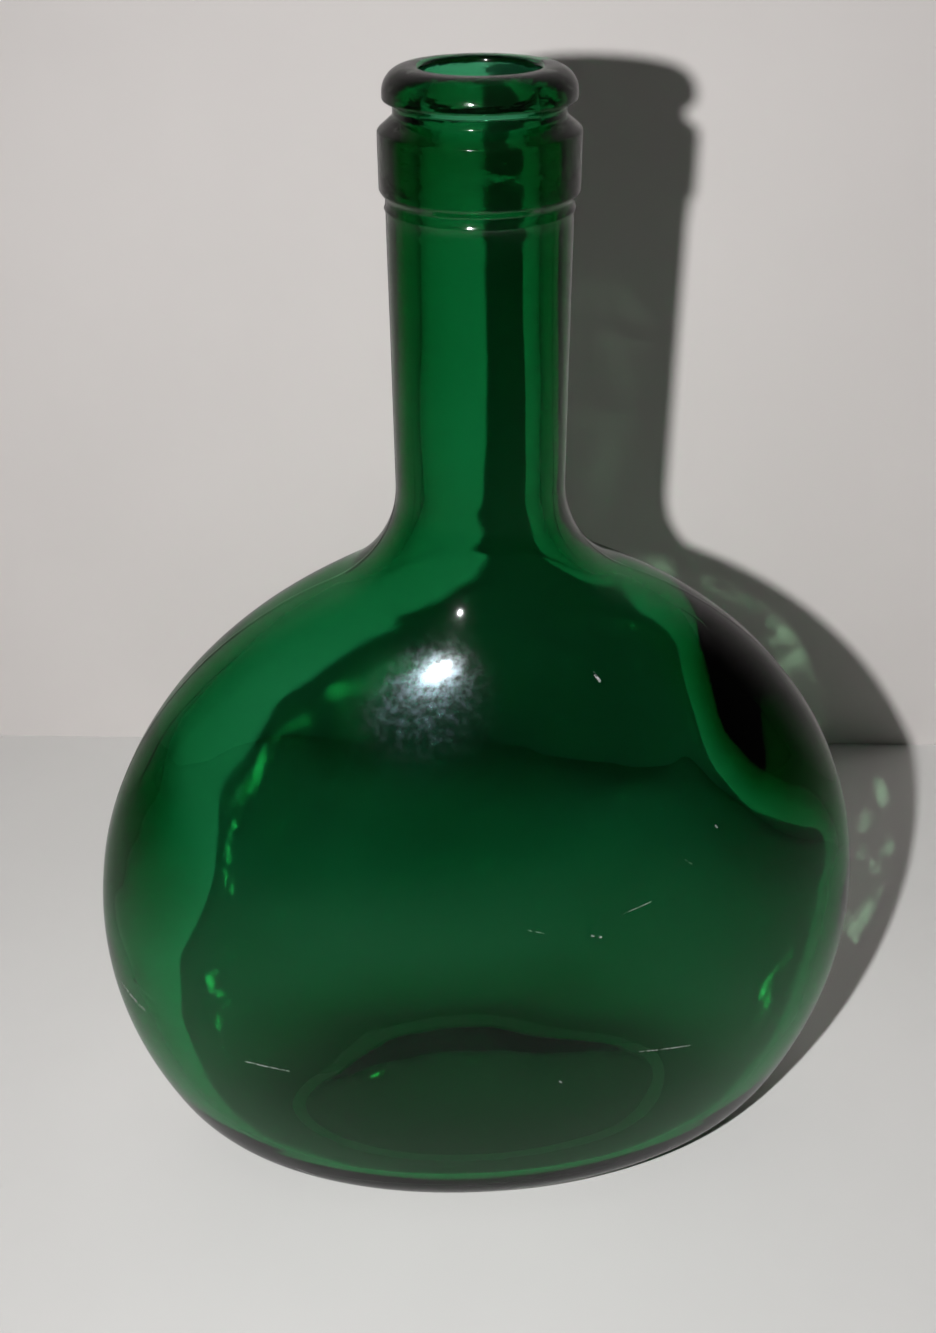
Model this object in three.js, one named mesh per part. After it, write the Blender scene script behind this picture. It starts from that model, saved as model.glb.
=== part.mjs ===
// Flattened wine flask of green moulded glass: an oval body under a round neck with a cork finish.
// The whole bottle is one piece of glass, open from the mouth down to the floor.
// Millimetres, +Z up, width along X, depth along Y, origin at the centre of the standing plane.
import * as THREE from "three";

// Overall
const HEIGHT = 218;
const BODY_WIDTH = 153;
const BODY_DEPTH = 77;

// Body: two ovals, seen from the front and from the side, cut flat for the base, with a rounded heel and a hollow
// fillet up to the neck. The side oval reaches a little higher, so the front of the shoulder is full.
const BELLY_HEIGHT = 55.3;
const OVAL_RISE_WIDE = 84;
const OVAL_RISE_DEEP = 90;
const HEEL_RADIUS_WIDE = 29;
const HEEL_RADIUS_DEEP = 15;
const SHOULDER_RADIUS_WIDE = 19.5;
const SHOULDER_RADIUS_DEEP = 30;
const BODY_WALL = 4.1;

// Base: a flat standing ring round a shallow push-up
const STANDING_RING = 3;
const PUSH_UP = 4.5;
const BASE_GLASS = 6;
const HEEL_GLASS = 7;
const INNER_HEEL_RADIUS_WIDE = 23;
const INNER_HEEL_RADIUS_DEEP = 10;

// Neck
const NECK_DIAMETER = 29;
const BORE_AT_MOUTH = 18;
const BORE_AT_ROOT = 19.4;
const INNER_SHOULDER_RADIUS_WIDE = 23.5;
const INNER_SHOULDER_RADIUS_DEEP = 34;

// Finish: heights are measured down from the mouth
const LIP_DIAMETER = 29.2;
const LIP_ROUNDING = 3.6;
const LIP_HEIGHT = 4.5;
const MOUTH_ROUNDING = 0.7;
const GROOVE_DIAMETER = 26.1;
const GROOVE_TOP = 5.3;
const GROOVE_BOTTOM = 6.8;
const COLLAR_DIAMETER = 30.8;
const COLLAR_TOP = 8.8;
const COLLAR_BOTTOM = 17.5;
const COLLAR_FOOT = 18.6;
const SMALL_ROUNDING = 0.5;
const COLLAR_ROUNDING = 1.1;

// Ring left where the two halves of the body mould meet the ring mould of the finish
const SEAM_DEPTH = 20.1;
const SEAM_HEIGHT = 1.3;
const SEAM_PROUD = 0.25;

// Fineness
const SEGMENTS = 60;
const HEEL_STEPS = 5;
const BELLY_STEPS = 16;
const SHOULDER_STEPS = 8;
const FLOOR_STEPS = 3;
const CORNER_STEPS = 2;
const LIP_STEPS = 5;

const GLASS = { color: 0x0f6a3c, roughness: 0.05, metalness: 0 };

// A value between two limits at which a falling or rising function crosses zero.
function crossing(measure, from, to) {
  const sign = Math.sign(measure(from));
  let low = from;
  let high = to;
  for (let i = 0; i < 50; i += 1) {
    const middle = (low + high) / 2;
    if (Math.sign(measure(middle)) === sign) low = middle;
    else high = middle;
  }
  return (low + high) / 2;
}

// One side of the body in a plane through the axis: heel arc, oval, shoulder arc and then the neck.
// The heel arc touches both the floor and the oval, and the shoulder arc both the oval and the neck.
class BodyOutline {
  constructor({ halfSpan, rise, centre, floor, heelRadius, shoulderRadius, neckRadius }) {
    Object.assign(this, { halfSpan, rise, centre, floor, heelRadius, shoulderRadius, neckRadius });
    const heelAngle = crossing(
      (angle) => this.offsetPoint(angle, -heelRadius).y - floor - heelRadius,
      0,
      Math.PI / 2,
    );
    const shoulderAngle = crossing(
      (angle) => this.offsetPoint(angle, shoulderRadius).x - neckRadius - shoulderRadius,
      Math.PI / 2,
      Math.PI,
    );
    this.ovalAngles = [heelAngle, shoulderAngle];
    this.heelCentre = this.offsetPoint(heelAngle, -heelRadius);
    this.heelTop = this.offsetPoint(heelAngle, 0).y;
    this.shoulderCentre = this.offsetPoint(shoulderAngle, shoulderRadius);
    this.shoulderStart = this.offsetPoint(shoulderAngle, 0).y;
  }

  // A point of the oval, counted in angle from its lowest point, moved out along its normal.
  offsetPoint(angle, distance) {
    const point = new THREE.Vector2(
      this.halfSpan * Math.sin(angle),
      this.centre - this.rise * Math.cos(angle),
    );
    const normal = new THREE.Vector2(this.rise * Math.sin(angle), -this.halfSpan * Math.cos(angle));
    return point.addScaledVector(normal.normalize(), distance);
  }

  // Half of the body's span at a height.
  at(height) {
    if (height < this.heelTop) {
      const drop = this.heelCentre.y - height;
      return this.heelCentre.x + Math.sqrt(Math.max(0, this.heelRadius ** 2 - drop ** 2));
    }
    if (height < this.shoulderStart) {
      return this.halfSpan * Math.sqrt(1 - ((height - this.centre) / this.rise) ** 2);
    }
    if (height < this.shoulderCentre.y) {
      const drop = this.shoulderCentre.y - height;
      return this.shoulderCentre.x - Math.sqrt(Math.max(0, this.shoulderRadius ** 2 - drop ** 2));
    }
    return this.neckRadius;
  }
}

// A row of the bottle's skin: an oval at a height, given by its half width and half depth.
const row = (height, halfWidth, halfDepth = halfWidth) => ({ height, halfWidth, halfDepth });

// Rows up the body, from the edge of the floor to the neck, closer together round the heel and the shoulder.
function bodyRows(wide, deep) {
  const heights = [];
  const [firstAngle, lastAngle] = wide.ovalAngles;
  const neckStart = Math.max(wide.shoulderCentre.y, deep.shoulderCentre.y);
  for (let i = 0; i < HEEL_STEPS; i += 1) {
    heights.push(THREE.MathUtils.lerp(wide.floor, wide.heelTop, (i / HEEL_STEPS) ** 2));
  }
  for (let i = 0; i < BELLY_STEPS; i += 1) {
    const angle = THREE.MathUtils.lerp(firstAngle, lastAngle, i / BELLY_STEPS);
    heights.push(wide.offsetPoint(angle, 0).y);
  }
  for (let i = 0; i <= SHOULDER_STEPS; i += 1) {
    heights.push(THREE.MathUtils.lerp(wide.shoulderStart, neckStart, i / SHOULDER_STEPS));
  }
  return heights.map((height) => row(height, wide.at(height), deep.at(height)));
}

// Rows over a shallow dome that fills an oval edge, from the axis out to that edge.
function domeRows(edge, rise) {
  const rows = [];
  for (let i = 0; i < FLOOR_STEPS; i += 1) {
    const share = i / FLOOR_STEPS;
    rows.push(row(edge.height + rise * (1 - share ** 2), edge.halfWidth * share, edge.halfDepth * share));
  }
  return rows;
}

// Round rows along a chain of corners, each [radius, height, rounding, steps], with arcs at the rounded ones.
function roundedRows(corners) {
  const points = corners.map(([x, y]) => new THREE.Vector2(x, y));
  return corners.flatMap(([x, y, rounding = 0, steps = CORNER_STEPS], i) => {
    if (!rounding) return [row(y, x)];
    const back = points[i - 1].clone().sub(points[i]).normalize();
    const ahead = points[i + 1].clone().sub(points[i]).normalize();
    const halfAngle = Math.acos(THREE.MathUtils.clamp(back.dot(ahead), -1, 1)) / 2;
    const centre = back.clone().add(ahead).normalize().multiplyScalar(rounding / Math.sin(halfAngle)).add(points[i]);
    const first = back.multiplyScalar(rounding / Math.tan(halfAngle)).add(points[i]).sub(centre);
    const turn = Math.sign(first.cross(points[i].clone().sub(centre))) * (Math.PI - 2 * halfAngle);
    return Array.from({ length: steps + 1 }, (_, step) => {
      const spoke = first.clone().rotateAround(new THREE.Vector2(), (turn * step) / steps).add(centre);
      return row(spoke.y, spoke.x);
    });
  });
}

// The outside from the top of the shoulder to the mouth, and the bore back down to the inner shoulder.
function neckAndFinishRows(innerShoulderTop) {
  const neck = NECK_DIAMETER / 2;
  const lip = LIP_DIAMETER / 2;
  const groove = GROOVE_DIAMETER / 2;
  const collar = COLLAR_DIAMETER / 2;
  const bore = BORE_AT_MOUTH / 2;
  const seam = HEIGHT - SEAM_DEPTH;
  return roundedRows([
    [neck, seam - SEAM_HEIGHT / 2],
    [neck + SEAM_PROUD, seam, SMALL_ROUNDING],
    [neck, seam + SEAM_HEIGHT / 2],
    [neck, HEIGHT - COLLAR_FOOT],
    [collar, HEIGHT - COLLAR_BOTTOM, COLLAR_ROUNDING],
    [collar, HEIGHT - COLLAR_TOP, SMALL_ROUNDING],
    [groove, HEIGHT - GROOVE_BOTTOM, SMALL_ROUNDING],
    [groove, HEIGHT - GROOVE_TOP, SMALL_ROUNDING],
    [lip, HEIGHT - LIP_HEIGHT, SMALL_ROUNDING],
    [lip, HEIGHT, LIP_ROUNDING, LIP_STEPS],
    [bore, HEIGHT, MOUTH_ROUNDING],
    [BORE_AT_ROOT / 2, innerShoulderTop],
  ]);
}

// The skin of the bottle, from the axis under the push-up, up the outside, over the lip and down the inside.
function bottleRows() {
  const outside = { centre: BELLY_HEIGHT, floor: 0, neckRadius: NECK_DIAMETER / 2 };
  const outerWide = new BodyOutline({
    ...outside,
    halfSpan: BODY_WIDTH / 2,
    rise: OVAL_RISE_WIDE,
    heelRadius: HEEL_RADIUS_WIDE,
    shoulderRadius: SHOULDER_RADIUS_WIDE,
  });
  const outerDeep = new BodyOutline({
    ...outside,
    halfSpan: BODY_DEPTH / 2,
    rise: OVAL_RISE_DEEP,
    heelRadius: HEEL_RADIUS_DEEP,
    shoulderRadius: SHOULDER_RADIUS_DEEP,
  });
  const inside = { centre: BELLY_HEIGHT, floor: HEEL_GLASS, neckRadius: BORE_AT_ROOT / 2 };
  const innerWide = new BodyOutline({
    ...inside,
    halfSpan: BODY_WIDTH / 2 - BODY_WALL,
    rise: OVAL_RISE_WIDE - BODY_WALL,
    heelRadius: INNER_HEEL_RADIUS_WIDE,
    shoulderRadius: INNER_SHOULDER_RADIUS_WIDE,
  });
  const innerDeep = new BodyOutline({
    ...inside,
    halfSpan: BODY_DEPTH / 2 - BODY_WALL,
    rise: OVAL_RISE_DEEP - BODY_WALL,
    heelRadius: INNER_HEEL_RADIUS_DEEP,
    shoulderRadius: INNER_SHOULDER_RADIUS_DEEP,
  });

  const outerBody = bodyRows(outerWide, outerDeep);
  const innerBody = bodyRows(innerWide, innerDeep);
  const foot = outerBody[0];
  const ringInside = row(foot.height, foot.halfWidth - STANDING_RING, foot.halfDepth - STANDING_RING);
  const floorEdge = innerBody[0];
  const floorRise = PUSH_UP + BASE_GLASS - HEEL_GLASS;
  return [
    ...domeRows(ringInside, PUSH_UP),
    ringInside,
    ...outerBody,
    ...neckAndFinishRows(innerBody.pop().height),
    ...innerBody.reverse(),
    ...domeRows(floorEdge, floorRise).reverse(),
  ];
}

// A turned skin whose rows are then squeezed from front to back, each to its own half depth.
function squeezedLathe(rows) {
  const profile = rows.map(({ halfWidth, height }) => new THREE.Vector2(halfWidth, height));
  const geometry = new THREE.LatheGeometry(profile, SEGMENTS).rotateX(Math.PI / 2);
  const position = geometry.attributes.position;
  for (let i = 0; i < position.count; i += 1) {
    const { halfWidth, halfDepth } = rows[i % rows.length];
    if (halfWidth > 0) position.setY(i, (position.getY(i) * halfDepth) / halfWidth);
  }
  geometry.computeVertexNormals();
  return geometry;
}

const bottle = new THREE.Mesh(squeezedLathe(bottleRows()), new THREE.MeshStandardMaterial(GLASS));
bottle.name = "glass_bottle";

const part = new THREE.Group();
part.add(bottle);

export default part;
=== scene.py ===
"""Dresses an empty flattened wine flask of green moulded glass for a photograph in a plain pale studio.

The bottle is one piece of glass. Its skin is built here as a fine closed surface, form by form: base,
body, neck and cork finish outside, then the bore, the cavity and the floor inside. Lengths are in
metres, +Z is up, X runs across the wide oval and Y through its flat depth.
"""

import logging
import math
from dataclasses import dataclass, field
from enum import Enum
from typing import Callable, Optional, Sequence, Union

import bpy
from mathutils import Matrix, Vector, noise


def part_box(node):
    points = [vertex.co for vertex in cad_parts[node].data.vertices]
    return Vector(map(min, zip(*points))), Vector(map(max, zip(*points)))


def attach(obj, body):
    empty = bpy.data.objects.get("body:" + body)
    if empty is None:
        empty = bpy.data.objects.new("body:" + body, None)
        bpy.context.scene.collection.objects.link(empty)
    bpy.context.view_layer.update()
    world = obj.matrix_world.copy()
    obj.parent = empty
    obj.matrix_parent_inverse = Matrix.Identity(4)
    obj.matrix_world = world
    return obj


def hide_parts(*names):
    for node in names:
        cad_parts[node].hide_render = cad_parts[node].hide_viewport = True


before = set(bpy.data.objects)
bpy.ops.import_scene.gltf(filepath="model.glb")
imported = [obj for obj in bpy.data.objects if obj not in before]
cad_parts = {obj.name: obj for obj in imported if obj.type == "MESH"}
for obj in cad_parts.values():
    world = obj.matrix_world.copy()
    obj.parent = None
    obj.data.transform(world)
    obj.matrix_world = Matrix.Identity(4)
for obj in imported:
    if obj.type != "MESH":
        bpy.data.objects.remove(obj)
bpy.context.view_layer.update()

LOG = logging.getLogger("flask")
MM = 0.001
ORIGIN = (0.0, 0.0, 0.0)
BOTTLE_NODE = "glass_bottle"


# Shader helpers


class Mix(Enum):
    """How two colours are combined."""

    BLEND = "MIX"
    MULTIPLY = "MULTIPLY"


Linkable = Union[float, Sequence[float], "Value"]


@dataclass(frozen=True)
class Value:
    """An output socket that can be used in Python arithmetic; each operation adds a Math node."""

    tree: "NodeTree"
    socket: bpy.types.NodeSocket

    def _math(self, operation: str, *values: Linkable) -> "Value":
        """Adds a Math node."""
        return self.tree.node("ShaderNodeMath", {"operation": operation}, *values)

    def __add__(self, other: Linkable) -> "Value":
        """This value plus another."""
        return self._math("ADD", self, other)

    def __radd__(self, other: Linkable) -> "Value":
        """A number plus this value."""
        return self._math("ADD", other, self)

    def __rsub__(self, other: Linkable) -> "Value":
        """A number minus this value."""
        return self._math("SUBTRACT", other, self)

    def __mul__(self, other: Linkable) -> "Value":
        """This value times another."""
        return self._math("MULTIPLY", self, other)

    def __rmul__(self, other: Linkable) -> "Value":
        """A number times this value."""
        return self._math("MULTIPLY", other, self)

    def __truediv__(self, other: Linkable) -> "Value":
        """This value divided by another."""
        return self._math("DIVIDE", self, other)

    def __abs__(self) -> "Value":
        """This value without its sign."""
        return self._math("ABSOLUTE", self)

    def highest(self, other: Linkable) -> "Value":
        """The larger of two values."""
        return self._math("MAXIMUM", self, other)

    def lowest(self, other: Linkable) -> "Value":
        """The smaller of two values."""
        return self._math("MINIMUM", self, other)

    def ramp(self, low: float, high: float, start: float = 0.0, end: float = 1.0) -> "Value":
        """Maps low..high smoothly to start..end and holds the ends.

        Args:
            low: Input value that gives start.
            high: Input value that gives end.
            start: Output at and before low.
            end: Output at and after high.

        Returns:
            The mapped value.
        """
        settings = {"interpolation_type": "SMOOTHSTEP"}
        return self.tree.node("ShaderNodeMapRange", settings, self, low, high, start, end)

    def vector(self, operation: str, *others: Linkable, out: Union[int, str] = 0) -> "Value":
        """Adds a Vector Math node that works on this vector and others."""
        return self.tree.node("ShaderNodeVectorMath", {"operation": operation}, self, *others, out=out)

    def distance_to(self, point: Linkable) -> "Value":
        """Distance from this place to another."""
        return self.vector("DISTANCE", point, out="Value")


class NodeTree:
    """The node tree of a material, lamp or world, with one method that adds any node."""

    def __init__(self, owner: bpy.types.ID) -> None:
        """Starts an empty tree.

        Args:
            owner: The material, lamp or world that the tree belongs to.
        """
        owner.use_nodes = True
        self.tree = owner.node_tree
        self.tree.nodes.clear()

    def node(
        self,
        kind: str,
        settings: Optional[dict[str, object]] = None,
        *values: Linkable,
        out: Union[int, str] = 0,
        **named: Linkable,
    ) -> Value:
        """Adds a node, sets it up and joins its inputs.

        Args:
            kind: Blender's name of the node type.
            settings: Node properties, set before any input.
            *values: Numbers, colours or values for the inputs in order.
            out: Index or name of the output to return.
            **named: Numbers, colours or values by input name, with _ for a space.

        Returns:
            The chosen output of the new node.
        """
        made = self.tree.nodes.new(kind)
        for key, setting in (settings or {}).items():
            setattr(made, key, setting)
        for index, value in enumerate(values):
            self._feed(made.inputs[index], value)
        for name, value in named.items():
            self._feed(made.inputs[name.replace("_", " ")], value)
        return Value(self, made.outputs[out])

    def blend(self, factor: Linkable, first: Linkable, second: Linkable, mix: Mix = Mix.BLEND) -> Value:
        """Combines two colours.

        Args:
            factor: Share of the second colour.
            first: First colour.
            second: Second colour.
            mix: The way they are combined.

        Returns:
            The mixed colour.
        """
        made = self.tree.nodes.new("ShaderNodeMix")
        made.data_type = "RGBA"
        made.blend_type = mix.value
        sockets = {s.identifier: s for s in made.inputs}
        self._feed(sockets["Factor_Float"], factor)
        self._feed(sockets["A_Color"], first)
        self._feed(sockets["B_Color"], second)
        return Value(self, next(s for s in made.outputs if s.identifier == "Result_Color"))

    def seen_by(self) -> tuple[Value, Value, Value]:
        """Finds out what looks here.

        Returns:
            1 where the camera looks, where a ray comes through glass, and where glass mirrors a ray.
        """
        camera = self.node("ShaderNodeLightPath", out="Is Camera Ray")
        through, glossy, back = (
            Value(self, camera.socket.node.outputs[name])
            for name in ("Is Transmission Ray", "Is Glossy Ray", "Is Reflection Ray")
        )
        return camera, through, glossy * back

    def _feed(self, socket: bpy.types.NodeSocket, value: Linkable) -> None:
        """Joins a value to a socket, or sets the socket to a number or colour.

        Args:
            socket: The input socket.
            value: What it gets.
        """
        if isinstance(value, Value):
            self.tree.links.new(value.socket, socket)
        else:
            socket.default_value = value

    def finish(self, kind: str, **shaders: Value) -> None:
        """Adds the output node and joins shaders to its inputs.

        Args:
            kind: Blender's name of the output node's type.
            **shaders: Shaders by input name.
        """
        output = self.tree.nodes.new(kind)
        for name, shader in shaders.items():
            self.tree.links.new(shader.socket, output.inputs[name])


@dataclass(frozen=True)
class Pattern:
    """A cloudy noise of one size, with the two levels between which its blotches fade."""

    scale: float
    detail: float = 2.0
    roughness: float = 0.5
    low: float = 0.0
    high: float = 1.0

    def cloud(self, place: Value) -> Value:
        """The plain noise at a place."""
        sizes = {"Scale": self.scale, "Detail": self.detail, "Roughness": self.roughness}
        return place.tree.node("ShaderNodeTexNoise", {}, Vector=place, **sizes)

    def blotches(self, place: Value, start: float = 0.0, end: float = 1.0) -> Value:
        """The noise as blotches: start up to its low level, end from its high one."""
        return self.cloud(place).ramp(self.low, self.high, start, end)


# Outlines


def lerp(start: float, end: float, share: float) -> float:
    """The value a share of the way from start to end."""
    return start + (end - start) * share


def share_past(height: float, start: float, length: float) -> float:
    """How far a height is past a start, as a share of a length from 0 to 1."""
    return min(1.0, max(0.0, (height - start) / length))


@dataclass(frozen=True)
class Ring:
    """One oval row of the bottle's skin."""

    height: float
    half_width: float
    half_depth: float

    @classmethod
    def round(cls, height: float, radius: float) -> "Ring":
        """A row that is a circle."""
        return cls(height, radius, radius)

    def scaled(self, share: float, lift: float = 0.0) -> "Ring":
        """The same oval, smaller by a share and moved up."""
        return Ring(self.height + lift, self.half_width * share, self.half_depth * share)

    def inset(self, distance: float, height: float) -> "Ring":
        """An oval smaller by a distance all round, at another height."""
        return Ring(height, self.half_width - distance, self.half_depth - distance)

    def toward(self, other: "Ring", share: float) -> "Ring":
        """An oval at the same height, a share of the way to another one."""
        width = lerp(self.half_width, other.half_width, share)
        return Ring(self.height, width, lerp(self.half_depth, other.half_depth, share))


HALVINGS = 60


def crossing(measure: Callable[[float], float], low: float, high: float) -> float:
    """Finds where a function changes sign.

    Args:
        measure: A function with one sign change between the limits.
        low: Lower limit.
        high: Upper limit.

    Returns:
        The argument at which the sign changes.
    """
    positive = measure(low) > 0
    for _ in range(HALVINGS):
        middle = (low + high) / 2
        if (measure(middle) > 0) == positive:
            low = middle
        else:
            high = middle
    return (low + high) / 2


@dataclass
class BodyOutline:
    """One side of the body in a plane through the axis: heel arc, oval, shoulder arc, then the neck.

    The heel arc touches the floor and the oval, and the shoulder arc touches the oval and the neck.
    """

    half_span: float
    rise: float
    centre: float
    floor: float
    heel_radius: float
    shoulder_radius: float
    neck_radius: float
    heel_angle: float = field(init=False)
    shoulder_angle: float = field(init=False)
    heel_centre: Vector = field(init=False)
    shoulder_centre: Vector = field(init=False)
    heel_top: float = field(init=False)
    shoulder_start: float = field(init=False)

    def __post_init__(self) -> None:
        """Finds the points where the arcs touch the oval."""
        heel_seat = self.floor + self.heel_radius
        shoulder_seat = self.neck_radius + self.shoulder_radius
        self.heel_angle = crossing(
            lambda angle: self.point(angle, -self.heel_radius).y - heel_seat, 0.0, math.pi / 2
        )
        self.shoulder_angle = crossing(
            lambda angle: self.point(angle, self.shoulder_radius).x - shoulder_seat, math.pi / 2, math.pi
        )
        self.heel_centre = self.point(self.heel_angle, -self.heel_radius)
        self.shoulder_centre = self.point(self.shoulder_angle, self.shoulder_radius)
        self.heel_top = self.point(self.heel_angle).y
        self.shoulder_start = self.point(self.shoulder_angle).y

    def point(self, angle: float, outward: float = 0.0) -> Vector:
        """A point of the oval, moved along its normal.

        Args:
            angle: Angle round the oval from its lowest point.
            outward: Distance to move away from the oval.

        Returns:
            The point as (half span, height).
        """
        sine, cosine = math.sin(angle), math.cos(angle)
        on_oval = Vector((self.half_span * sine, self.centre - self.rise * cosine))
        normal = Vector((self.rise * sine, -self.half_span * cosine)).normalized()
        return on_oval + normal * outward

    def at(self, height: float) -> float:
        """Half of the body's span at a height.

        Args:
            height: The height.

        Returns:
            The distance from the axis.
        """
        if height < self.heel_top:
            drop = self.heel_centre.y - height
            return self.heel_centre.x + math.sqrt(max(0.0, self.heel_radius**2 - drop**2))
        if height < self.shoulder_start:
            return self.half_span * math.sqrt(1 - ((height - self.centre) / self.rise) ** 2)
        if height < self.shoulder_centre.y:
            drop = self.shoulder_centre.y - height
            return self.shoulder_centre.x - math.sqrt(max(0.0, self.shoulder_radius**2 - drop**2))
        return self.neck_radius


@dataclass(frozen=True)
class Corner:
    """A corner of a round outline, with the radius of the arc that softens it."""

    radius: float
    height: float
    rounding: float = 0.0
    steps: int = 5


def rounded_rows(corners: Sequence[Corner], spacing: float) -> list[Ring]:
    """Turns a chain of corners into round rows, with arcs at the corners and even rows between them.

    Args:
        corners: The corners in order.
        spacing: Longest distance between two rows on a straight stretch.

    Returns:
        The rows in order.
    """
    points: list[Vector] = []
    for i, corner in enumerate(corners):
        here = Vector((corner.radius, corner.height))
        if corner.rounding == 0.0:
            points.append(here)
            continue
        back = (Vector((corners[i - 1].radius, corners[i - 1].height)) - here).normalized()
        ahead = (Vector((corners[i + 1].radius, corners[i + 1].height)) - here).normalized()
        half_angle = back.angle(ahead) / 2
        centre = here + (back + ahead).normalized() * corner.rounding / math.sin(half_angle)
        first = here + back * corner.rounding / math.tan(half_angle) - centre
        toward = here - centre
        turn = math.copysign(math.pi - 2 * half_angle, first.x * toward.y - first.y * toward.x)
        for step in range(corner.steps + 1):
            spoke = Matrix.Rotation(turn * step / corner.steps, 2) @ first
            points.append(centre + spoke)
    rows = [Ring.round(points[0].y, points[0].x)]
    for before, after in zip(points, points[1:]):
        pieces = max(1, math.ceil((after - before).length / spacing))
        for piece in range(1, pieces + 1):
            spot = before.lerp(after, piece / pieces)
            rows.append(Ring.round(spot.y, spot.x))
    return rows


# The bottle, form by form


@dataclass(frozen=True)
class CorkFinish:
    """The top of the neck: a rounded lip, a groove and a broad collar; heights count from the mouth."""

    lip_diameter: float = 29.2 * MM
    lip_rounding: float = 3.6 * MM
    lip_height: float = 4.5 * MM
    lip_crown: float = 0.12 * MM
    mouth_rounding: float = 0.7 * MM
    groove_diameter: float = 26.1 * MM
    groove_top: float = 5.3 * MM
    groove_bottom: float = 6.8 * MM
    collar_diameter: float = 30.8 * MM
    collar_top: float = 8.8 * MM
    collar_bottom: float = 17.5 * MM
    collar_foot: float = 18.6 * MM
    small_rounding: float = 0.5 * MM
    collar_rounding: float = 1.1 * MM
    collar_steps: int = 7
    lip_steps: int = 12

    def corners(self, mouth: float, neck_radius: float, bore_radius: float) -> list[Corner]:
        """The finish from the foot of the collar, over the lip and into the bore.

        Args:
            mouth: Height of the top of the lip.
            neck_radius: Outer radius of the neck below the collar.
            bore_radius: Radius of the bore at the mouth.

        Returns:
            The corners in order.
        """
        collar, groove, lip = self.collar_diameter / 2, self.groove_diameter / 2, self.lip_diameter / 2
        crown = (lip - self.lip_rounding + bore_radius) / 2
        return [
            Corner(neck_radius, mouth - self.collar_foot, self.small_rounding),
            Corner(collar, mouth - self.collar_bottom, self.collar_rounding, self.collar_steps),
            Corner(collar, mouth - self.collar_top, self.small_rounding),
            Corner(groove, mouth - self.groove_bottom, self.small_rounding),
            Corner(groove, mouth - self.groove_top, self.small_rounding),
            Corner(lip, mouth - self.lip_height, self.small_rounding),
            Corner(lip, mouth - self.lip_crown, self.lip_rounding, self.lip_steps),
            Corner(crown, mouth),
            Corner(bore_radius, mouth - self.lip_crown, self.mouth_rounding),
        ]


@dataclass(frozen=True)
class Neck:
    """The round neck, its tapered bore and the raised ring where the body mould meets the ring mould."""

    diameter: float = 29.0 * MM
    bore_at_mouth: float = 18.0 * MM
    bore_at_root: float = 19.4 * MM
    seam_depth: float = 20.1 * MM
    seam_height: float = 1.3 * MM
    seam_proud: float = 0.25 * MM
    seam_rounding: float = 0.35 * MM
    seam_steps: int = 3
    row_spacing: float = 1.6 * MM

    def rows(self, mouth: float, root: float, inner_root: float, finish: CorkFinish) -> list[Ring]:
        """The neck's skin from the shoulder up to the mouth and down the bore to the inner shoulder.

        Args:
            mouth: Height of the top of the lip.
            root: Height at which the outer shoulder ends.
            inner_root: Height at which the inner shoulder ends.
            finish: The cork finish at its top.

        Returns:
            The rows in order.
        """
        radius, seam = self.diameter / 2, mouth - self.seam_depth
        chain = [
            Corner(radius, root + self.row_spacing),
            Corner(radius, seam - self.seam_height / 2),
            Corner(radius + self.seam_proud, seam, self.seam_rounding, self.seam_steps),
            Corner(radius, seam + self.seam_height / 2),
            *finish.corners(mouth, radius, self.bore_at_mouth / 2),
            Corner(self.bore_at_root / 2, inner_root + self.row_spacing),
        ]
        return rounded_rows(chain, self.row_spacing)


@dataclass(frozen=True)
class Base:
    """The base: a flat standing ring round a shallow push-up, and the thicker glass above it."""

    standing_ring: float = 3.0 * MM
    ring_rounding: float = 1.1 * MM
    lip_share: float = 0.3
    ring_shares: tuple[float, ...] = (0.12, 0.34, 0.56, 0.78)
    push_up: float = 4.5 * MM
    base_glass: float = 6.0 * MM
    dome_steps: int = 22

    def dome(self, edge: Ring, rise: float) -> list[Ring]:
        """Rows over a dome that fills an oval edge, from the axis out to just inside the edge.

        Args:
            edge: The oval edge.
            rise: Height of the dome above it.

        Returns:
            The rows in order, with the axis itself left out.
        """
        shares = [step / self.dome_steps for step in range(1, self.dome_steps)]
        return [edge.scaled(share, rise * (1 - share**2)) for share in shares]

    def outside(self, foot: Ring) -> list[Ring]:
        """The underside from the axis out to the standing ring's outer edge.

        Args:
            foot: The lowest oval of the body.

        Returns:
            The rows in order.
        """
        inner = foot.inset(self.standing_ring, foot.height)
        lip = inner.inset(self.ring_rounding, self.ring_rounding * self.lip_share)
        ring = [inner.toward(foot, share) for share in self.ring_shares]
        return [*self.dome(lip, self.push_up - lip.height), lip, inner, *ring]


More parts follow.
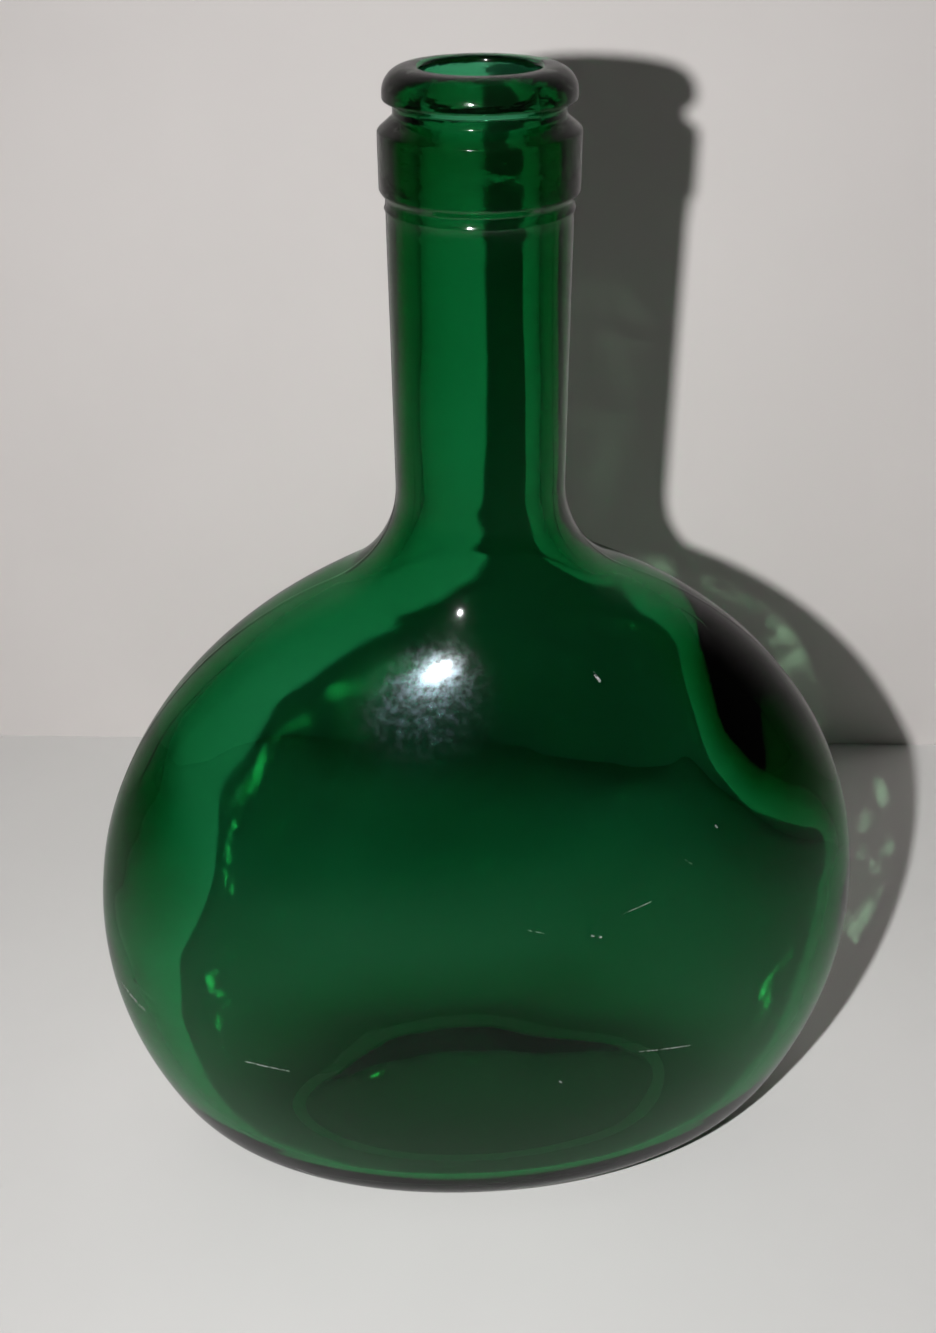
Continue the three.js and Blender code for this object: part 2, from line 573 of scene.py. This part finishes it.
@dataclass(frozen=True)
class Body:
    """The body: an oval from the front, another from the side, a rounded heel and a hollow neck fillet."""

    width: float
    depth: float
    belly_height: float = 55.3 * MM
    rise_wide: float = 84.0 * MM
    rise_deep: float = 90.0 * MM
    heel_wide: float = 29.0 * MM
    heel_deep: float = 15.0 * MM
    shoulder_wide: float = 19.5 * MM
    shoulder_deep: float = 30.0 * MM
    wall: float = 4.1 * MM
    heel_glass: float = 7.0 * MM
    inner_heel_wide: float = 23.0 * MM
    inner_heel_deep: float = 10.0 * MM
    inner_shoulder_wide: float = 23.5 * MM
    inner_shoulder_deep: float = 34.0 * MM
    heel_rows: int = 26
    belly_rows: int = 66
    shoulder_rows: int = 34

    def outer(self, neck_radius: float) -> tuple[BodyOutline, BodyOutline]:
        """The outside in its wide and its deep plane.

        Args:
            neck_radius: Outer radius of the neck.

        Returns:
            The two outlines.
        """
        seat = (self.belly_height, 0.0)
        arcs_wide = (self.heel_wide, self.shoulder_wide, neck_radius)
        arcs_deep = (self.heel_deep, self.shoulder_deep, neck_radius)
        wide = BodyOutline(self.width / 2, self.rise_wide, *seat, *arcs_wide)
        deep = BodyOutline(self.depth / 2, self.rise_deep, *seat, *arcs_deep)
        return wide, deep

    def inner(self, bore_radius: float) -> tuple[BodyOutline, BodyOutline]:
        """The cavity in its wide and its deep plane.

        Args:
            bore_radius: Radius of the bore at the foot of the neck.

        Returns:
            The two outlines.
        """
        seat, wall = (self.belly_height, self.heel_glass), self.wall
        arcs_wide = (self.inner_heel_wide, self.inner_shoulder_wide, bore_radius)
        arcs_deep = (self.inner_heel_deep, self.inner_shoulder_deep, bore_radius)
        wide = BodyOutline(self.width / 2 - wall, self.rise_wide - wall, *seat, *arcs_wide)
        deep = BodyOutline(self.depth / 2 - wall, self.rise_deep - wall, *seat, *arcs_deep)
        return wide, deep

    def rows(self, wide: BodyOutline, deep: BodyOutline) -> list[Ring]:
        """Rows from the floor's edge up to the neck, closer together at the heel and the shoulder.

        Args:
            wide: Outline in the plane of the wide oval.
            deep: Outline from front to back.

        Returns:
            The rows in order.
        """
        top = max(wide.shoulder_centre.y, deep.shoulder_centre.y)
        heel = [
            lerp(wide.floor, wide.heel_top, (i / self.heel_rows) ** 2) for i in range(self.heel_rows)
        ]
        belly = [
            wide.point(lerp(wide.heel_angle, wide.shoulder_angle, i / self.belly_rows)).y
            for i in range(self.belly_rows)
        ]
        shoulder = [
            lerp(wide.shoulder_start, top, i / self.shoulder_rows) for i in range(self.shoulder_rows + 1)
        ]
        return [Ring(height, wide.at(height), deep.at(height)) for height in (*heel, *belly, *shoulder)]


@dataclass(frozen=True)
class MouldSeam:
    """The fine ridge that the two halves of the mould leave up each narrow side."""

    height: float = 0.08 * MM
    half_width: float = 0.6 * MM
    fade: float = 6.0 * MM

    def lift(self, across: float, height: float, top: float) -> float:
        """How far the ridge stands out at a point of the outside.

        Args:
            across: Distance from the middle of the ridge.
            height: Height of the point.
            top: Height at which the ridge ends.

        Returns:
            The ridge's height there.
        """
        if abs(across) >= self.half_width:
            return 0.0
        ends = share_past(height, 0.0, self.fade) * share_past(-height, -top, self.fade)
        return self.height * (1 - (across / self.half_width) ** 2) * ends


@dataclass(frozen=True)
class Gather:
    """A place where more glass has gathered in the mould, as a soft mound on the cavity's wall."""

    place: tuple[float, float, float]
    reach: float
    depth: float

    def swell(self, point: Vector) -> float:
        """How much thicker the glass is at a point of the inside."""
        share = (point - Vector(self.place)).length / self.reach
        return self.depth * (1 - share**2) ** 2 if share < 1 else 0.0


GATHERS = (
    Gather((56.0 * MM, 0.0, 101.0 * MM), 34.0 * MM, 6.5 * MM),
    Gather((-67.0 * MM, -8.0 * MM, 86.0 * MM), 27.0 * MM, 2.3 * MM),
)


@dataclass(frozen=True)
class Settling:
    """The soft unevenness of blown glass: the outside follows the mould and the inside flows.

    It is a broad wave with a quicker and a fine one on top. It fades out at the finish and, outside, at
    the foot. Inside, a share of it is left near the floor.
    """

    outside: float = 0.05 * MM
    inside: float = 0.8 * MM
    wavelength: float = 34.0 * MM
    quick: float = 0.22
    quick_length: float = 0.42
    quick_start: tuple[float, float, float] = (7.3, 1.9, 4.1)
    fine: float = 0.06
    fine_length: float = 0.21
    fine_start: tuple[float, float, float] = (2.7, 8.4, 5.6)
    fade: float = 20.0 * MM
    finish_depth: float = 24.0 * MM
    foot_height: float = 2.0 * MM
    outside_inset: float = 1.4
    floor_share: float = 0.2
    floor_band: tuple[float, float] = (22.0 * MM, 62.0 * MM)

    def shift(self, point: Vector, strength: float) -> float:
        """How far the unevenness moves a point along its normal.

        Args:
            point: The point.
            strength: Height of the broad wave.

        Returns:
            The distance outwards.
        """
        slow = noise.noise(point / self.wavelength)
        quick = noise.noise(point / (self.wavelength * self.quick_length) + Vector(self.quick_start))
        fine = noise.noise(point / (self.wavelength * self.fine_length) + Vector(self.fine_start))
        return strength * (slow + self.quick * quick + self.fine * fine)

    def on_outside(self, point: Vector, mouth: float) -> float:
        """How far a point of the outside moves out; a small inset keeps it within the bottle's sizes.

        Args:
            point: The point.
            mouth: Height of the top of the lip.

        Returns:
            The distance outwards.
        """
        calm = share_past(-point.z, self.finish_depth - mouth, self.fade)
        calm *= share_past(point.z, self.foot_height, self.fade)
        return self.shift(point, self.outside) * calm - self.outside * self.outside_inset * calm

    def on_inside(self, point: Vector, mouth: float) -> float:
        """How far a point of the inside moves out.

        Args:
            point: The point.
            mouth: Height of the top of the lip.

        Returns:
            The distance outwards.
        """
        low, high = self.floor_band
        calm = share_past(-point.z, self.finish_depth - mouth, self.fade)
        calm *= lerp(self.floor_share, 1.0, share_past(point.z, low, high - low))
        return self.shift(point, self.inside) * calm


@dataclass(frozen=True)
class Fullness:
    """The slight fullness of the shoulder below the neck, at the front and at the back."""

    height: float = 0.4 * MM
    half_width: float = 25.0 * MM
    start: float = 95.0 * MM
    crest: float = 127.0 * MM
    end: float = 145.0 * MM

    def lift(self, across: float, height: float) -> float:
        """How far the shoulder stands out beyond its plain oval.

        Args:
            across: Distance sideways from the middle of the bottle.
            height: Height of the point.

        Returns:
            The extra depth there.
        """
        if abs(across) >= self.half_width or not self.start < height < self.end:
            return 0.0
        far = self.start if height < self.crest else self.end
        share = (height - far) / (self.crest - far)
        sideways = math.cos(math.pi / 2 * across / self.half_width) ** 2
        return self.height * share**2 * (3 - 2 * share) * sideways


@dataclass
class Bottle:
    """The whole bottle as one closed skin of glass."""

    low: Vector
    high: Vector
    finish: CorkFinish = field(default_factory=CorkFinish)
    neck: Neck = field(default_factory=Neck)
    base: Base = field(default_factory=Base)
    seam: MouldSeam = field(default_factory=MouldSeam)
    settling: Settling = field(default_factory=Settling)
    fullness: Fullness = field(default_factory=Fullness)
    flow_room: float = 0.02 * MM
    seam_columns: int = 11
    seam_reach: float = math.radians(2.6)
    side_columns: int = 132
    body: Body = field(init=False)
    mouth: float = field(init=False)

    def __post_init__(self) -> None:
        """Takes the overall sizes from the frame, with room for the seams' ridges and for the flow."""
        size = self.high - self.low
        self.mouth = self.high.z
        self.body = Body(size.x - 2 * self.seam.height, size.y - self.flow_room)

    def columns(self) -> list[float]:
        """Spaces the skin's columns, crowded at the two mould seams.

        Returns:
            Their angles round the bottle.
        """
        angles: list[float] = []
        for middle in (0.0, math.pi):
            for step in range(-self.seam_columns, self.seam_columns):
                angles.append(middle + self.seam_reach * step / self.seam_columns)
            free = math.pi - 2 * self.seam_reach
            for step in range(self.side_columns):
                angles.append(middle + self.seam_reach + free * step / self.side_columns)
        return angles

    def rows(self) -> tuple[list[Ring], int]:
        """All rows of the skin from under the push-up to the middle of the floor inside.

        Returns:
            The rows, and the number of them that belong to the outside.
        """
        radius = self.neck.diameter / 2
        outer = self.body.rows(*self.body.outer(radius))
        inner = self.body.rows(*self.body.inner(self.neck.bore_at_root / 2))
        neck = self.neck.rows(self.mouth, outer[-1].height, inner[-1].height, self.finish)
        top = max(range(len(neck)), key=lambda i: neck[i].height)
        floor_rise = self.base.push_up + self.base.base_glass - self.body.heel_glass
        floor = self.base.dome(inner[0], floor_rise)
        under = self.base.outside(outer[0])
        rows = [*under, *outer, *neck, *reversed(inner), *reversed(floor)]
        return rows, len(under) + len(outer) + top

    def point(self, row: Ring, angle: float, outside: bool) -> Vector:
        """A point of the finished skin.

        Args:
            row: The row it lies on.
            angle: Its angle round the row's oval.
            outside: Whether the row is on the outside of the bottle.

        Returns:
            The point, with the mould seam and the unevenness of the glass.
        """
        sine, cosine = math.sin(angle), math.cos(angle)
        point = Vector((row.half_width * cosine, row.half_depth * sine, row.height))
        if outside:
            point.y += math.copysign(self.fullness.lift(point.x, row.height), sine)
        normal = Vector((cosine / row.half_width, sine / row.half_depth, 0)).normalized()
        if outside:
            top = self.mouth - self.finish.lip_height
            shift = self.settling.on_outside(point, self.mouth)
            return point + normal * (shift + self.seam.lift(point.y, row.height, top))
        swell = sum(gather.swell(point) for gather in GATHERS)
        return point + normal * (self.settling.on_inside(point, self.mouth) - swell)

    def skin(self) -> bpy.types.Object:
        """Builds the closed skin as one smooth mesh.

        Returns:
            The object, linked to the scene.
        """
        rows, outside_rows = self.rows()
        angles = self.columns()
        count = len(angles)
        points = [
            self.point(row, angle, number <= outside_rows)
            for number, row in enumerate(rows)
            for angle in angles
        ]
        faces = [
            (here + i, here + (i + 1) % count, here + count + (i + 1) % count, here + count + i)
            for here in range(0, (len(rows) - 1) * count, count)
            for i in range(count)
        ]
        under, floor = len(points), len(points) + 1
        points.append(Vector((0, 0, self.base.push_up)))
        points.append(Vector((0, 0, self.base.push_up + self.base.base_glass)))
        last = (len(rows) - 1) * count
        faces += [((i + 1) % count, i, under) for i in range(count)]
        faces += [(last + i, last + (i + 1) % count, floor) for i in range(count)]
        mesh = bpy.data.meshes.new("glass_bottle_skin")
        mesh.from_pydata(points, [], faces)
        mesh.validate()
        mesh.shade_smooth()
        piece = bpy.data.objects.new("glass_bottle_skin", mesh)
        bpy.context.scene.collection.objects.link(piece)
        return piece


# Finishes


@dataclass(frozen=True)
class Scuff:
    """A scratch or a rubbed spot on the outside: a short line with a width, in millimetres."""

    start: tuple[float, float, float]
    end: tuple[float, float, float]
    width: float

    def distance(self, place: Value) -> Value:
        """Distance from a place to the line, in millimetres.

        Args:
            place: The place, in metres.

        Returns:
            The distance.
        """
        start, run = Vector(self.start), Vector(self.end) - Vector(self.start)
        here = place.vector("MULTIPLY_ADD", [1 / MM] * 3, list(-start))
        along = here.vector("DOT_PRODUCT", list(run), out="Value")
        share = (along / run.length_squared).lowest(1.0).highest(0.0)
        foot = place.tree.node("ShaderNodeVectorMath", {"operation": "SCALE"}, list(run), Scale=share)
        return here.distance_to(foot)


SCUFFS = (
    Scuff((17.2, -21.8, 125.8), (18.2, -22.3, 124.5), 0.35),
    Scuff((21.9, -34.9, 83.3), (27.3, -33.6, 84.8), 0.2),
    Scuff((16.5, -36.1, 79.9), (18.6, -35.9, 79.1), 0.35),
    Scuff((39.3, -27.7, 96.4), (39.6, -27.7, 96.0), 0.35),
    Scuff((33.6, -30.8, 91.6), (34.8, -30.7, 90.5), 0.25),
    Scuff((-47.6, -29.9, 47.3), (-39.1, -32.9, 47.1), 0.3),
    Scuff((-72.3, -12.5, 52.4), (-67.8, -17.6, 50.3), 0.6),
    Scuff((5.1, -36.6, 82.5), (8.1, -36.6, 81.5), 0.2),
    Scuff((11.6, -37.8, 45.1), (12.0, -37.7, 44.6), 0.3),
    Scuff((26.9, -36.0, 49.7), (37.2, -33.5, 47.8), 0.25),
)


@dataclass(frozen=True)
class BottleGlass:
    """Deep green bottle glass, coloured through its thickness, with a smudge and a film of handling. The
    smudge patch also carries a painted blue tint in its base colour, for the halo round the lamp's
    highlight.
    """

    colour: tuple[float, float, float, float] = (0.0, 0.673, 0.415, 1.0)
    density: float = 530.0
    index: float = 1.5
    roughness: float = 0.012
    surface_tint: float = 0.22
    film_roughness: float = 0.24
    film_index: float = 1.45
    film_level: float = 0.03
    film_broad: Pattern = Pattern(16.0, 3.0, 0.6, 0.52, 0.80)
    film_streaks: Pattern = Pattern(110.0, 4.0, 0.65, 0.58, 0.80)
    finish_band: tuple[float, float] = (0.190, 0.198)
    finish_gloss: float = 0.035
    finish_roughness: float = 0.07
    finish_marks: float = 1.8
    turned: Pattern = Pattern(260.0)
    turned_stretch: tuple[float, float, float] = (1.0, 1.0, 3.0)
    smudge_centre: tuple[float, float, float] = (-13.0 * MM, -30.8 * MM, 125.5 * MM)
    smudge_reach: tuple[float, float] = (8.0 * MM, 19.0 * MM)
    # Painted highlight colour: a blue tint in the base colour of the smudge patch, for the halo round the
    # lamp's reflection.
    painted_halo_tint: tuple[float, float, float, float] = (0.40, 0.72, 1.0, 1.0)
    smudge_gloss: float = 0.028
    smudge_roughness: float = 0.22
    smudge_film: float = 0.21
    web: Pattern = Pattern(680.0, 4.0, 0.6, 0.16, 0.84)
    film_between: float = 0.40
    film_on_web: float = 0.65
    haze_reach: tuple[float, float] = (8.0 * MM, 34.0 * MM)
    haze_roughness: float = 0.08
    worn_gloss: float = 0.5
    worn_roughness: float = 0.8
    worn_edge: tuple[float, float] = (0.4, 1.0)
    worn_grain: Pattern = Pattern(1500.0, low=0.38, high=0.56)
    flow: Pattern = Pattern(55.0, roughness=0.45)
    peel: Pattern = Pattern(620.0)
    peel_share: float = 0.03
    ripple_strength: float = 0.5
    ripple_height: float = 0.12 * MM

    def material(self) -> bpy.types.Material:
        """Builds the glass.

        Returns:
            The material.
        """
        made = bpy.data.materials.new("bottle_glass")
        tree = NodeTree(made)
        place = tree.node("ShaderNodeTexCoord", out="Object")
        # The smudge patch lies round the lamp's highlight. Its gloss, roughness and film are real; its
        # base colour also carries a painted blue tint for the halo.
        smudge_and_halo = place.distance_to(self.smudge_centre).ramp(*self.smudge_reach, 1.0, 0.0)
        haze = place.distance_to(self.smudge_centre).ramp(*self.haze_reach, 1.0, 0.0)
        web = self.web.blotches(place)
        worn = self.scuffs(place)
        finish = self.on_finish(place)
        gloss = self.smudge_gloss * smudge_and_halo * web + self.worn_gloss * worn + self.finish_gloss * finish
        blur = self.roughness + self.finish_roughness * finish + self.haze_roughness * haze
        smear = self.smudge_film * smudge_and_halo * (self.film_between + self.film_on_web * web)
        shader = tree.node(
            "ShaderNodeBsdfPrincipled",
            {},
            # Painted highlight: the smudge patch's base colour is tinted blue for the halo round the
            # lamp's reflection.
            Base_Color=tree.blend(smudge_and_halo, (1.0, 1.0, 1.0, 1.0), self.painted_halo_tint),
            Metallic=gloss,
            Roughness=blur + self.smudge_roughness * smudge_and_halo * web + self.worn_roughness * worn,
            IOR=self.index,
            Specular_Tint=(self.surface_tint, self.surface_tint, self.surface_tint, 1.0),
            Transmission_Weight=1.0,
            Coat_Weight=self.film(place) + smear,
            Coat_Roughness=self.film_roughness,
            Coat_IOR=self.film_index,
            Normal=self.ripples(place),
        )
        depth = tree.node("ShaderNodeVolumeAbsorption", {}, Color=self.colour, Density=self.density)
        tree.finish("ShaderNodeOutputMaterial", Surface=shader, Volume=depth)
        return made

    def film(self, place: Value) -> Value:
        """Dust film and faint prints, 0 where the glass is clean."""
        dust = self.film_broad.blotches(place, 0.0, self.film_level)
        return dust + self.film_streaks.blotches(place, 0.0, self.film_level)

    def scuffs(self, place: Value) -> Value:
        """Scratches and rubbed spots on the outside.

        Args:
            place: The place on the glass.

        Returns:
            1 on a mark, 0 elsewhere.
        """
        nearest = None
        for scuff in SCUFFS:
            reach = scuff.distance(place) / scuff.width
            nearest = reach if nearest is None else nearest.lowest(reach)
        return nearest.ramp(*self.worn_edge, 1.0, 0.0) * self.worn_grain.blotches(place)

    def on_finish(self, place: Value) -> Value:
        """How far a place belongs to the cork finish, from 0 below it to 1 on it."""
        return place.tree.node("ShaderNodeSeparateXYZ", {}, place, out="Z").ramp(*self.finish_band)

    def ripples(self, place: Value) -> Value:
        """The flow and orange-peel of moulded glass, and the tool's marks round the finish.

        Args:
            place: The place on the glass.

        Returns:
            The normal.
        """
        turned = self.turned.cloud(place.vector("MULTIPLY", self.turned_stretch))
        marks = self.finish_marks * self.on_finish(place) * turned
        return place.tree.node(
            "ShaderNodeBump",
            {},
            Strength=self.ripple_strength,
            Distance=self.ripple_height,
            Height=self.flow.cloud(place) + self.peel_share * self.peel.cloud(place) + marks,
        )


@dataclass(frozen=True)
class PaintedBoard:
    """A matt, pale board for the floor and the wall behind.

    It keeps its paleness far from the lamp, also as the glass shows it, and is less bright in mirror
    reflections. Near the bottle the glass shows a faint glow on it, from the light that the bottle passes.
    """

    name: str
    colour: tuple[float, float, float, float]
    roughness: float = 0.85
    mottle: float = 0.03
    cloud: Pattern = Pattern(14.0, 4.0, 0.55, 0.3, 0.7)
    one_sided: bool = False
    far: tuple[float, float] = (0.25, 0.48)
    far_level: float = 0.60
    behind_share: float = 0.85
    far_in_glass: tuple[float, float] = (0.45, 1.1)
    level_in_glass: float = 0.27
    wall_heading: tuple[float, float, float] = (0.0, 1.0, 0.0)
    wall_distance: float = 9.0
    mirror_loss: float = 0.42
    passed: float = 0.0
    passed_reach: tuple[float, float] = (0.05, 0.145)
    contact: float = 4.0 * MM
    overhang: float = 22.0 * MM
    contact_share: float = 0.5
    occlusion_rays: int = 8

    def material(self) -> bpy.types.Material:
        """Builds the board's finish.

        Returns:
            The material.
        """
        made = bpy.data.materials.new(self.name)
        tree = NodeTree(made)
        place = tree.node("ShaderNodeTexCoord", out="Object")
        shade = self.cloud.blotches(place, 1.0 - self.mottle, 1.0)
        camera, glass, mirrored = tree.seen_by()
        level = shade * (1.0 - self.mirror_loss * mirrored)
        tint = tree.node("ShaderNodeCombineColor", {}, level, level, level)
        colour = tree.blend(1.0, self.colour, tint, Mix.MULTIPLY)
        glow = self.unlit(place) * self.far_level * camera + self.in_glass(place) * glass
        shader = tree.node(
            "ShaderNodeBsdfPrincipled",
            {},
            Base_Color=colour,
            Roughness=self.roughness,
            Emission_Color=tree.node("ShaderNodeCombineColor", {}, glow, glow, glow),
            Emission_Strength=1.0,
        )
        if self.one_sided:
            back = tree.node("ShaderNodeNewGeometry", out="Backfacing")
            clear = tree.node("ShaderNodeBsdfTransparent")
            shader = tree.node("ShaderNodeMixShader", {}, back, shader, clear)
        tree.finish("ShaderNodeOutputMaterial", Surface=shader)
        return made

    def unlit(self, place: Value) -> Value:
        """How far the lamp fails to light a place.

        Args:
            place: The place on the board.

        Returns:
            1 far from the bottle, a share of that close behind the wall, and 0 where the lamp lights it.
        """
        toward = place.vector("DOT_PRODUCT", self.wall_heading, out="Value")
        behind = toward.ramp(self.wall_distance, self.wall_distance + MM, 0.0, self.behind_share)
        return place.distance_to(ORIGIN).ramp(*self.far).highest(behind)

    def in_glass(self, place: Value) -> Value:
        """The board's glow as the glass shows it.

        It holds the paleness far away, and near the bottle the soft light that the bottle lets through,
        which is weaker under its heel and gone where it stands.

        Args:
            place: The place on the board.

        Returns:
            The strength of the glow.
        """
        away = place.distance_to(ORIGIN)
        near = away.ramp(*self.passed_reach, self.passed, 0.0)
        rays = {"samples": self.occlusion_rays}
        tight, wide = (
            place.tree.node("ShaderNodeAmbientOcclusion", rays, out="AO", Distance=reach)
            for reach in (self.contact, self.overhang)
        )
        clear = self.contact_share * tight + (1 - self.contact_share) * wide
        return away.ramp(*self.far_in_glass) * self.level_in_glass + near * clear


# The studio


@dataclass(frozen=True)
class Studio:
    """A pale floor with a pale wall close behind, a small key lamp beside the camera and an even fill."""

    wall_left: tuple[float, float] = (-0.1393, 0.1565)
    wall_right: tuple[float, float] = (0.1524, 0.1258)
    wall_width: float = 2.4
    wall_height: float = 1.3
    floor_reach: float = 2.4
    floor_paint: tuple[float, float, float, float] = (0.68, 0.67, 0.655, 1.0)
    wall_paint: tuple[float, float, float, float] = (0.61, 0.575, 0.56, 1.0)
    key_place: tuple[float, float, float] = (-0.063, -0.2175, 0.2516)
    key_aim: tuple[float, float, float] = (0.0, 0.0, 0.11)
    key_size: float = 0.007
    key_power: float = 3.75
    through_glass: tuple[float, float, float] = (0.08, 0.15, 0.09)
    fill: float = 0.03
    room_level: float = 0.62
    room_tint: tuple[float, float, float, float] = (1.0, 0.985, 0.97, 1.0)
    room_through_glass: float = 0.7
    horizon: tuple[float, float] = (0.2, 0.5)

    def build(self) -> None:
        """Makes the floor, the wall and the lights."""
        self.floor()
        self.wall()
        self.key()
        self.sky()

    def board(self, name: str, corners: Sequence[Sequence[float]], finish: PaintedBoard) -> None:
        """Makes one flat board, which takes caustic light.

        Args:
            name: Name of the board.
            corners: Its corners in order.
            finish: Its paint.
        """
        mesh = bpy.data.meshes.new(name)
        mesh.from_pydata([Vector(corner) for corner in corners], [], [tuple(range(len(corners)))])
        mesh.materials.append(finish.material())
        board = bpy.data.objects.new(name, mesh)
        bpy.context.scene.collection.objects.link(board)
        board.cycles.is_caustics_receiver = True

    def floor(self) -> None:
        """Makes the floor, which goes on behind the wall."""
        along, into = self.directions()
        foot = (Vector(self.wall_left) + Vector(self.wall_right)) / 2
        near, far = foot - into * self.floor_reach, foot + into * self.floor_reach
        side = along * self.wall_width / 2
        corners = [(*(near - side), 0), (*(near + side), 0), (*(far + side), 0), (*(far - side), 0)]
        finish = PaintedBoard(
            "floor_board",
            self.floor_paint,
            passed=0.13,
            wall_heading=(*into, 0.0),
            wall_distance=foot.dot(into),
        )
        self.board("floor", corners, finish)

    def wall(self) -> None:
        """Makes the upright wall."""
        along, _ = self.directions()
        foot = (Vector(self.wall_left) + Vector(self.wall_right)) / 2
        left, right = foot - along * self.wall_width / 2, foot + along * self.wall_width / 2
        top = self.wall_height
        corners = [(*left, 0), (*right, 0), (*right, top), (*left, top)]
        finish = PaintedBoard(
            "wall_board",
            self.wall_paint,
            one_sided=True,
            far=(0.34, 0.62),
            passed=0.035,
            passed_reach=(0.14, 0.40),
        )
        self.board("wall", corners, finish)

    def directions(self) -> tuple[Vector, Vector]:
        """Unit directions along the wall's foot and into the wall."""
        along = (Vector(self.wall_right) - Vector(self.wall_left)).normalized()
        return along, Vector((-along.y, along.x))

    def key(self) -> None:
        """Makes the key lamp: a part that the glass stops, and the green part that it lets through."""
        through = self.through_glass
        self.lamp("key", [1.0 - share for share in through])
        passing = self.lamp("key_through_glass", through)
        passing.data.cycles.is_caustics_light = True

    def lamp(self, name: str, colour: Sequence[float]) -> bpy.types.Object:
        """Makes a small round lamp at the key's place, whose light weakens slowly with distance.

        Args:
            name: Name of the lamp.
            colour: Its colour.

        Returns:
            The lamp object.
        """
        data = bpy.data.lights.new(name, "AREA")
        data.shape = "DISK"
        data.size = self.key_size
        data.energy = 1.0
        tree = NodeTree(data)
        level = tree.node("ShaderNodeLightFalloff", {}, out="Linear", Strength=self.key_power)
        glow = tree.node("ShaderNodeEmission", {}, Color=(*colour, 1.0), Strength=level)
        tree.finish("ShaderNodeOutputLight", Surface=glow)
        lamp = bpy.data.objects.new(name, data)
        lamp.location = self.key_place
        aim = Vector(self.key_aim) - Vector(self.key_place)
        lamp.rotation_euler = aim.to_track_quat("-Z", "Y").to_euler()
        lamp.visible_camera = False
        bpy.context.scene.collection.objects.link(lamp)
        return lamp

    def sky(self) -> None:
        """Makes the dim room: the camera sees it pale, and so does the glass near the horizon."""
        world = bpy.data.worlds.new("room")
        tree = NodeTree(world)
        camera, glass, _ = tree.seen_by()
        heading = tree.node("ShaderNodeTexCoord", out="Generated")
        height = abs(tree.node("ShaderNodeSeparateXYZ", {}, heading, out="Z"))
        pale = camera + self.room_through_glass * glass * height.ramp(*self.horizon, 1.0, 0.0)
        level = pale.ramp(0.0, 1.0, self.fill, self.room_level)
        room = tree.node("ShaderNodeBackground", {}, Color=self.room_tint, Strength=level)
        tree.finish("ShaderNodeOutputWorld", Surface=room)
        bpy.context.scene.world = world


@dataclass(frozen=True)
class StudioCamera:
    """The camera, a little above the mouth of the bottle and looking down at its front."""

    place: tuple[float, float, float] = (-0.01891, -0.21925, 0.2509)
    heading: float = math.radians(-4.31)
    tilt: float = math.radians(31.77)
    roll: float = math.radians(-0.41)
    focal_pixels: float = 1400.0
    image_height: float = 1333.0
    sensor: float = 36.0
    clip: tuple[float, float] = (0.01, 20.0)

    def build(self) -> None:
        """Makes the camera and gives it to the scene."""
        data = bpy.data.cameras.new("camera")
        data.sensor_width = self.sensor
        data.lens = self.sensor * self.focal_pixels / self.image_height
        data.clip_start, data.clip_end = self.clip
        camera = bpy.data.objects.new("camera", data)
        level, drop = math.cos(self.tilt), math.sin(self.tilt)
        ahead = Vector((-math.sin(self.heading) * level, math.cos(self.heading) * level, -drop))
        flat = Vector((math.cos(self.heading), math.sin(self.heading), 0.0))
        above = flat.cross(ahead)
        right = math.cos(self.roll) * flat + math.sin(self.roll) * above
        up = math.cos(self.roll) * above - math.sin(self.roll) * flat
        turn = Matrix((right, up, -ahead)).transposed().to_4x4()
        camera.matrix_world = Matrix.Translation(Vector(self.place)) @ turn
        bpy.context.scene.collection.objects.link(camera)
        bpy.context.scene.camera = camera


GLASS_BOUNCES = 24
OTHER_BOUNCES = 12


def set_view() -> None:
    """Sets the plain view transform and enough bounces for light to leave the thick glass."""
    scene = bpy.context.scene
    scene.view_settings.view_transform = "Standard"
    scene.cycles.max_bounces = GLASS_BOUNCES
    scene.cycles.transmission_bounces = GLASS_BOUNCES
    scene.cycles.glossy_bounces = OTHER_BOUNCES
    scene.cycles.transparent_max_bounces = OTHER_BOUNCES


def main() -> None:
    """Builds the camera, the studio and the bottle."""
    logging.basicConfig(level=logging.INFO, format="%(name)s: %(message)s")
    set_view()
    StudioCamera().build()
    Studio().build()
    low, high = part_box(BOTTLE_NODE)
    skin = Bottle(Vector(low), Vector(high)).skin()
    skin.data.materials.append(BottleGlass().material())
    skin.cycles.is_caustics_caster = True
    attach(skin, "root")
    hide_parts(BOTTLE_NODE)
    LOG.info("%s: %d faces", skin.name, len(skin.data.polygons))


if __name__ == "__main__":
    main()
